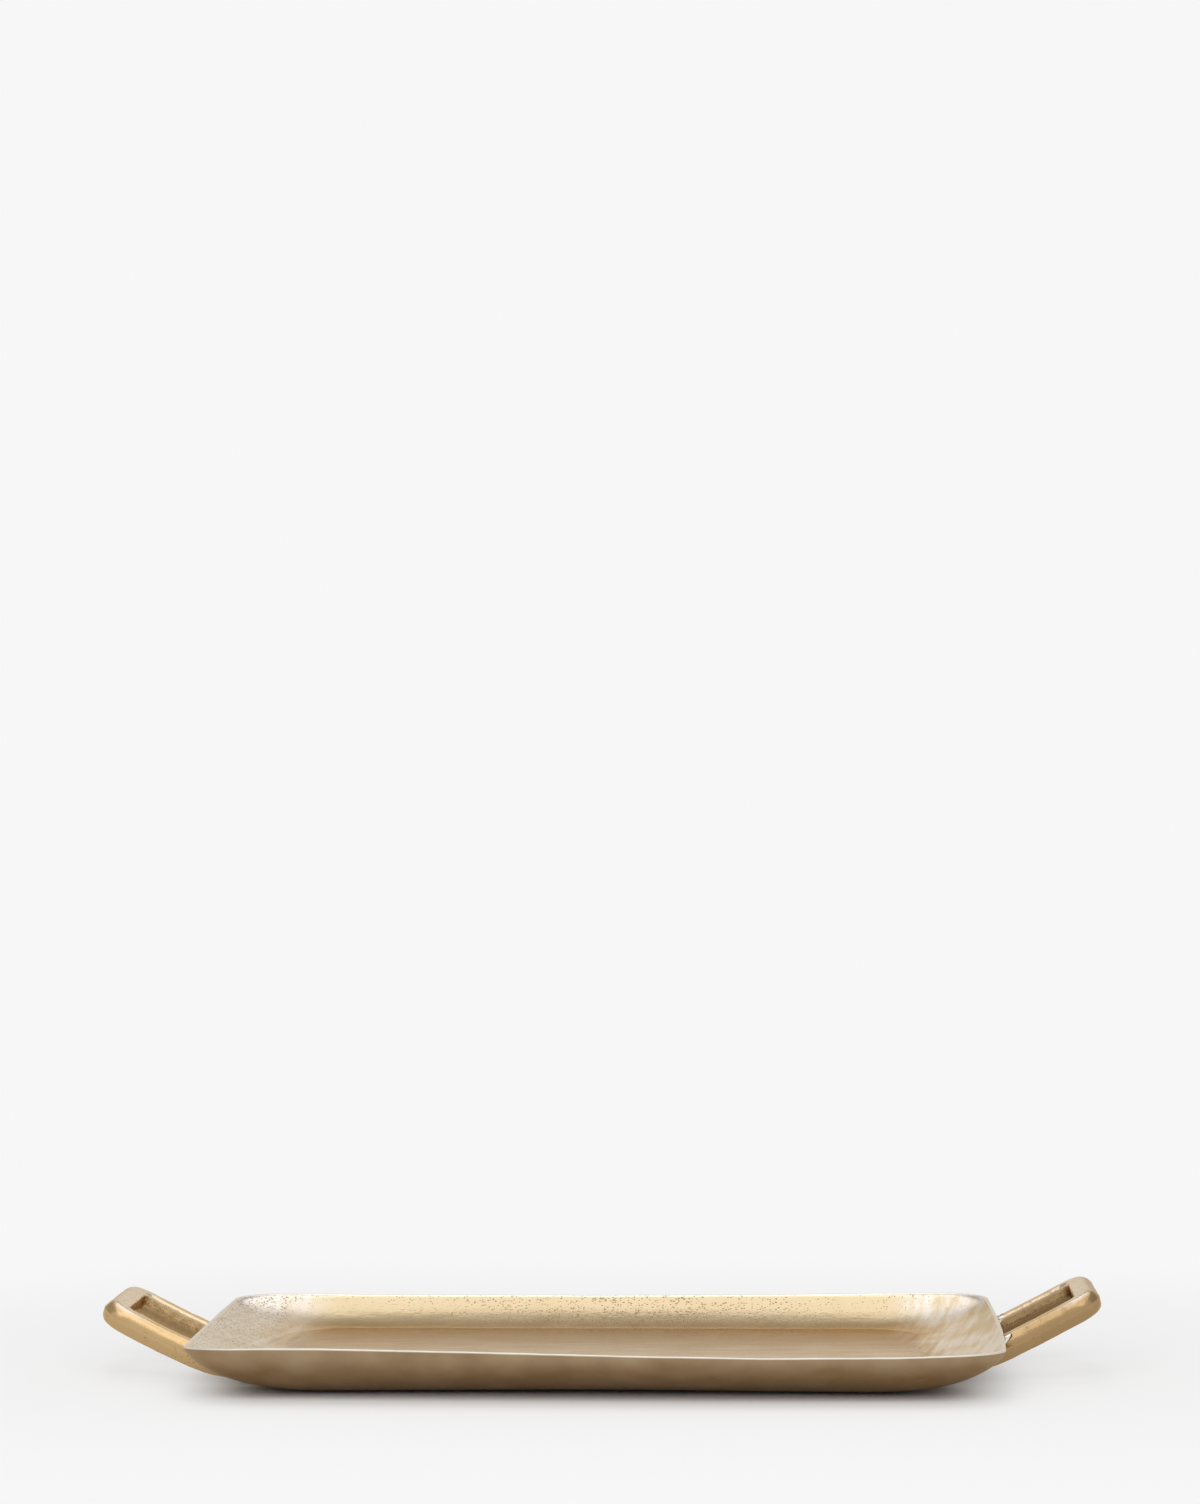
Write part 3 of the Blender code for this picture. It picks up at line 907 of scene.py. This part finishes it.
def pan_marks(make):
    """The pan: pitted rear wall, drawn streaks on the floor, ground ends and a rubbed lip, with painted
    reflection on the front floor, a painted highlight along the rear crease, and painted shade on the rear
    floor, the inner wall's foot and the outside, darkest towards the foot.
    """
    dish, lip, inset = make.weight("dish"), make.weight("lip"), make.weight("inset")
    bare = 1 - dish
    patches = make.noise(38, 4, 1.0)
    grain = make.noise(1100, 3, 2.0)
    streaks = make.noise(240, 4, 3.0, stretch=(11, 1, 1), roughness=0.6)
    fans = make.noise(210, 5, 4.0, stretch=(14, 1, 2), turn=1.36, roughness=0.6)
    ends = abs(make.x).step(*END_ZONE)
    fore = make.y.step(*FRONT_ZONE)
    wall_foot = inset.step(*WALL_FOOT)
    base = inset.step(*FLOOR_EDGE)
    # Painted highlight: a pale line along the crease at the rear floor's edge.
    crease = (1 - abs(inset - CREASE) * 900).most(0) * make.y.step(*REAR_EDGE)
    # Painted shade: tone drops towards the inner wall's foot and on the rear of the floor. The patches are
    # the metal's own uneven tone.
    make.tone = 1 - 0.85 * wall_foot - 0.25 * base * (1 - fore) + 0.7 * (patches - 0.5) * dish
    make.tone = make.tone.clip()
    rubbed = (streaks + patches * 0.7 - 0.85) * 1.7
    ground = (fans + patches * 0.8 - 0.9) * 1.9
    # Painted reflection: the front of the floor is made pale like the backdrop it mirrors. The drawn streaks
    # over the floor are real wear.
    floor_wear_and_painted_reflection = base * (0.70 * fore - 0.08 + rubbed * (0.20 + 0.50 * fore))
    right = make.x.step(0.0, 0.1)
    end_wear = ends * (0.75 - 0.2 * right + ground * (1 + right))
    make.wear = (dish * floor_wear_and_painted_reflection.most(end_wear) + 0.45 * crease * dish).most(lip).clip()
    belly = make.z.step(*BELLY)
    # Painted shade: the outside is laid dark, toning and painted shade together, darkest towards the foot,
    # and the rear of the floor is darkened too.
    toning_and_painted_shade = bare * (0.72 + 0.28 * belly + 0.6 * (patches - 0.5)) + 0.75 * base * (1 - fore)
    make.shade = toning_and_painted_shade * (1 - lip)
    middle = 1 - (abs(make.x - 0.015) / 0.17).least(1)
    clusters = make.noise(60, 3, 5.0).step(0.2, 0.6)
    spread = (0.36 + 0.26 * clusters) * (0.45 + 0.60 * middle) * dish
    spread = spread * (0.35 + 0.65 * inset.step(0.038, 0.030))
    pits = make.pits(700, spread) * 0.85
    specks = make.pits(800, 0.60 * ends * dish * make.x.step(0.0, -0.05), 2.0) * 0.7
    stains = make.pits(430, 0.62 * bare * make.noise(55, 3, 6.0).step(0.42, 0.68), 3.0) * 0.4
    make.pit = (pits + specks + stains).least(1) * (1 - lip)
    make.rough = 0.10 * (patches - 0.5) + 0.12 * (grain - 0.5) + 0.08 * pits
    make.rough = make.rough + 0.12 * ends + 0.12 * bare - 0.05
    make.relief = grain * 0.00005 - (pits + specks) * 0.00012 + streaks * 0.00004 * dish
    make.relief = make.relief + fans * 0.00010 * ends * dish + make.noise(330, 3, 7.0) * 0.00010


def handle_marks(make):
    """The handles: rubbed upper edges, hammered slot sides and sand grain, with a painted highlight on the
    upper faces and painted shade on the undersides, the slot's lower half and the whole right handle.
    """
    slot, top, low, edge = (make.weight(name) for name in ("slot", "top", "low", "edge"))
    patches = make.noise(60, 4, 1.0)
    grain = make.noise(1000, 3, 2.0)
    right = make.x.step(0.0, 0.05)
    tip = abs(make.x).step(*TIP_ZONE)
    hammered = make.noise(330, 3, 4.0, roughness=0.6)
    rubbed = make.noise(420, 4, 5.0, roughness=0.7)
    # Painted highlight and shade: the upper faces are raised towards the rubbed colour and the undersides
    # lowered. The patches and the hammered slot sides are the metal's own.
    make.tone = 0.45 + 0.7 * (patches - 0.5) + 0.5 * top - 0.2 * low + 2.2 * slot * (hammered - 0.5)
    make.tone = make.tone.clip()
    # Painted shade: the whole right handle, the slot's side and the undersides, most of all the slot's lower
    # half, are darkened.
    toning_and_painted_shade = (0.42 * right + 0.15 * slot) * (1 - 0.5 * top) + low * (0.15 + 0.40 * slot)
    make.shade = ((toning_and_painted_shade + 0.5 * (patches - 0.5)) * (1 - edge)).clip()
    worn = tip * top * (0.55 + 2.2 * (rubbed - 0.45)) + 0.3 * top * (rubbed - 0.4)
    make.wear = worn.most(0.8 * edge).clip()
    make.pit = make.pits(640, 0.55 * make.noise(90, 3, 3.0).step(0.35, 0.7) * (1 - 0.6 * top)) * 0.6
    make.rough = 0.10 * (patches - 0.5) + 0.10 * (grain - 0.5) - 0.04 * top
    make.relief = grain * 0.00005 - make.pit * 0.00010 + hammered * (0.00008 + 0.00055 * slot)


def braze_marks(make):
    """The fillets: brighter, lumpier metal with file marks, and painted shade on the right handle's fillets.
    """
    patches = make.noise(160, 3, 1.0)
    grain = make.noise(900, 3, 2.0)
    filed = make.noise(600, 2, 3.0, stretch=(6, 1, 1), turn=0.9)
    make.tone = (0.4 + 0.6 * (patches - 0.5)).clip()
    # Painted shade: the right handle's fillets are darkened.
    make.shade = 0.3 * make.x.step(0.0, 0.05)
    make.wear = (0.75 + 1.5 * (patches - 0.5)).clip()
    make.pit = make.pits(600, 0.4 * patches) * 0.6
    make.rough = 0.15 * (patches - 0.5)
    make.relief = grain * 0.00005 + filed * 0.00008 + patches * 0.0001


def brass(name, finish, marks, rubbed):
    """A satin antique brass with the marks, and the painted light and shade, of one group of pieces."""
    mat, tree, shader = new_material(name)
    make = Finish(tree)
    marks(make)
    metal = mix_colours(tree, make.tone.socket, finish.toning_and_painted_shade, rubbed)
    for share, over in ((make.shade, finish.dark), (make.wear, finish.worn), (make.pit, finish.pit)):
        metal = mix_colours(tree, share.socket, metal, over)
    plug(tree, shader.inputs["Base Color"], metal)
    plug(tree, shader.inputs["Roughness"], (make.rough + finish.roughness).most(LEAST_ROUGHNESS))
    shader.inputs["Metallic"].default_value = 1.0
    shader.inputs["Specular Tint"].default_value = (*finish.edge, 1)
    bump = add_node(tree, "ShaderNodeBump", {"Height": make.relief * 1000, "Distance": 0.001})
    plug(tree, shader.inputs["Normal"], bump.outputs[0])
    return mat


def felt_material(felt):
    """Pressed dark felt: matt, mottled and fuzzy."""
    mat, tree, shader = new_material("felt")
    make = Finish(tree)
    fibres = make.noise(2600, 4, 1.0, roughness=0.7)
    pale = tuple(min(1, part * 2.2) for part in felt.colour)
    plug(tree, shader.inputs["Base Color"], mix_colours(tree, fibres.socket, felt.colour, pale))
    plug(tree, shader.inputs["Roughness"], 0.85 + 0.15 * fibres)
    shader.inputs["Sheen Weight"].default_value = 0.3
    bump = add_node(tree, "ShaderNodeBump", {"Height": fibres, "Distance": 0.0002})
    plug(tree, shader.inputs["Normal"], bump.outputs[0])
    return mat


# --- stage ---

# radiance of what the metal mirrors, and of the light that the floor takes from the room
BACKDROP_LIGHT = 0.80
BACKDROP_SHADE = 0.42
ROOM_LIGHT = 0.55

# directions, as parts of a unit vector, where the darker room starts above and behind
SHADE_HEIGHT = (0.36, 0.41)
SHADE_DEPTH = (-0.3, 0.0)

# floor: its size, and the distances from the tray's foot over which it turns into the backdrop
FLOOR_RADIUS = 8.0
FOOT_HALF_LENGTH = 0.165
FOOT_HALF_WIDTH = 0.065
NEAR_FADE = (0.005, 0.060)
FAR_FADE = (0.06, 0.42)
NEAR_SHARE = 0.6


def make_world(stage):
    """A pale studio: the backdrop for the camera, and a darker room over it for what the metal mirrors."""
    world = bpy.data.worlds.new("studio")
    bpy.context.scene.world = world
    world.use_nodes = True
    tree = world.node_tree
    _, depth, height = split(tree, tree.nodes.new("ShaderNodeTexCoord").outputs["Generated"])
    gap = height.step(*SHADE_HEIGHT) * depth.step(*SHADE_DEPTH)
    light = BACKDROP_LIGHT - (BACKDROP_LIGHT - BACKDROP_SHADE) * gap
    ray = tree.nodes.new("ShaderNodeLightPath").outputs
    light = light + (ROOM_LIGHT - light) * Field(tree, ray["Is Diffuse Ray"])
    seen = mix_colours(tree, ray["Is Camera Ray"], combine(tree, light, light, light), stage.backdrop)
    plug(tree, tree.nodes["Background"].inputs["Color"], seen)


def make_floor(stage):
    """A wide pale floor that turns into the backdrop's own light away from the tray."""
    bm = bmesh.new()
    bmesh.ops.create_circle(bm, cap_ends=True, segments=FLOOR_SIDES, radius=FLOOR_RADIUS)
    item = mesh_object("studio_floor", bm)
    mat, tree, shader = new_material("floor")
    tree.nodes.remove(shader)
    x, y, _ = split(tree, tree.nodes.new("ShaderNodeTexCoord").outputs["Object"])
    x, y = (abs(x) - FOOT_HALF_LENGTH).most(0), (abs(y) - FOOT_HALF_WIDTH).most(0)
    away = (x * x + y * y) ** 0.5
    far = NEAR_SHARE * away.step(*NEAR_FADE) + (1 - NEAR_SHARE) * away.step(*FAR_FADE)
    matt = add_node(tree, "ShaderNodeBsdfDiffuse", {"Color": (*stage.floor, 1)})
    glow = add_node(tree, "ShaderNodeEmission", {"Color": (*stage.backdrop, 1)})
    both = add_node(tree, "ShaderNodeMixShader", {0: far, 1: matt.outputs[0], 2: glow.outputs[0]})
    tree.links.new(both.outputs[0], tree.nodes["Material Output"].inputs["Surface"])
    item.data.materials.append(mat)


# name: (place, degrees tipped from straight down to the rear, width, depth, radiance, shows in the metal)
LAMPS = {
    "softbox": ((0.0, 0.40, 1.60), 0, 1.6, 3.4, 0.85, True),
    "front": ((0.0, -2.20, 1.30), 59, 3.0, 1.6, 4.2, False),
    "key": ((0.0, -0.50, 1.80), 0, 0.5, 0.5, 3.6, False),
}


def make_lamp(name, place, tip, width, depth, radiance, mirrored):
    """A rectangular lamp that either shows in the metal or lights the floor."""
    data = bpy.data.lights.new(name, "AREA")
    data.shape = "RECTANGLE"
    data.size, data.size_y = width, depth
    data.energy = radiance * math.pi * width * depth
    item = add_object(name, data)
    item.location = place
    item.rotation_euler.x = math.radians(tip)
    item.visible_glossy = mirrored
    item.visible_diffuse = not mirrored


def make_camera(stage):
    data = bpy.data.cameras.new("camera")
    data.lens = stage.lens
    data.clip_start, data.clip_end = 0.05, 50
    item = add_object("camera", data)
    turn = Matrix.Rotation(math.radians(stage.camera_turn), 4, "Z")
    tilt = Matrix.Rotation(math.radians(90 + stage.camera_tilt), 4, "X")
    roll = Matrix.Rotation(math.radians(stage.camera_roll), 4, "Z")
    place = Matrix.Translation((stage.camera_x, stage.camera_y, stage.camera_z))
    item.matrix_world = place @ turn @ tilt @ roll
    bpy.context.scene.camera = item


class BRASS_TRAY_OT_stage(bpy.types.Operator):
    """Build the floor, the light and the camera"""

    bl_idname = "brass_tray.stage"
    bl_label = "Stage"

    def execute(self, context):
        stage = context.scene.brass_tray.stage
        make_world(stage)
        make_floor(stage)
        for name, lamp in LAMPS.items():
            make_lamp(name, *lamp)
        make_camera(stage)
        context.scene.view_settings.view_transform = "Standard"
        return {"FINISHED"}


class BRASS_TRAY_PT_tray(bpy.types.Panel):
    """Builds the tray, piece by piece"""

    bl_label = "Brass Tray"
    bl_space_type = "VIEW_3D"
    bl_region_type = "UI"
    bl_category = "Brass Tray"

    def draw(self, context):
        for maker in MAKERS:
            self.layout.operator(maker.bl_idname)
        tray = context.scene.brass_tray
        for group in tray.bl_rna.properties.keys():
            settings = getattr(tray, group)
            if isinstance(settings, bpy.types.PropertyGroup):
                box = self.layout.box()
                box.label(text=tray.bl_rna.properties[group].name)
                for name in settings.bl_rna.properties.keys():
                    if name not in ("rna_type", "name"):
                        box.prop(settings, name)


MAKERS = (
    BRASS_TRAY_OT_pan,
    BRASS_TRAY_OT_handles,
    BRASS_TRAY_OT_braze,
    BRASS_TRAY_OT_felt,
    BRASS_TRAY_OT_stage,
)
GROUPS = (
    PanSettings,
    HandleSettings,
    BrazeSettings,
    FeltSettings,
    FinishSettings,
    StageSettings,
    TraySettings,
)


def register():
    for item in (*GROUPS, *MAKERS, BRASS_TRAY_PT_tray):
        bpy.utils.register_class(item)
    bpy.types.Scene.brass_tray = PointerProperty(name="Brass Tray", type=TraySettings)


def unregister():
    del bpy.types.Scene.brass_tray
    for item in reversed((*GROUPS, *MAKERS, BRASS_TRAY_PT_tray)):
        bpy.utils.unregister_class(item)


def main():
    register()
    bpy.ops.brass_tray.pan()
    bpy.ops.brass_tray.handles()
    bpy.ops.brass_tray.braze()
    bpy.ops.brass_tray.felt()
    bpy.ops.brass_tray.stage()


if __name__ == "__main__":
    main()
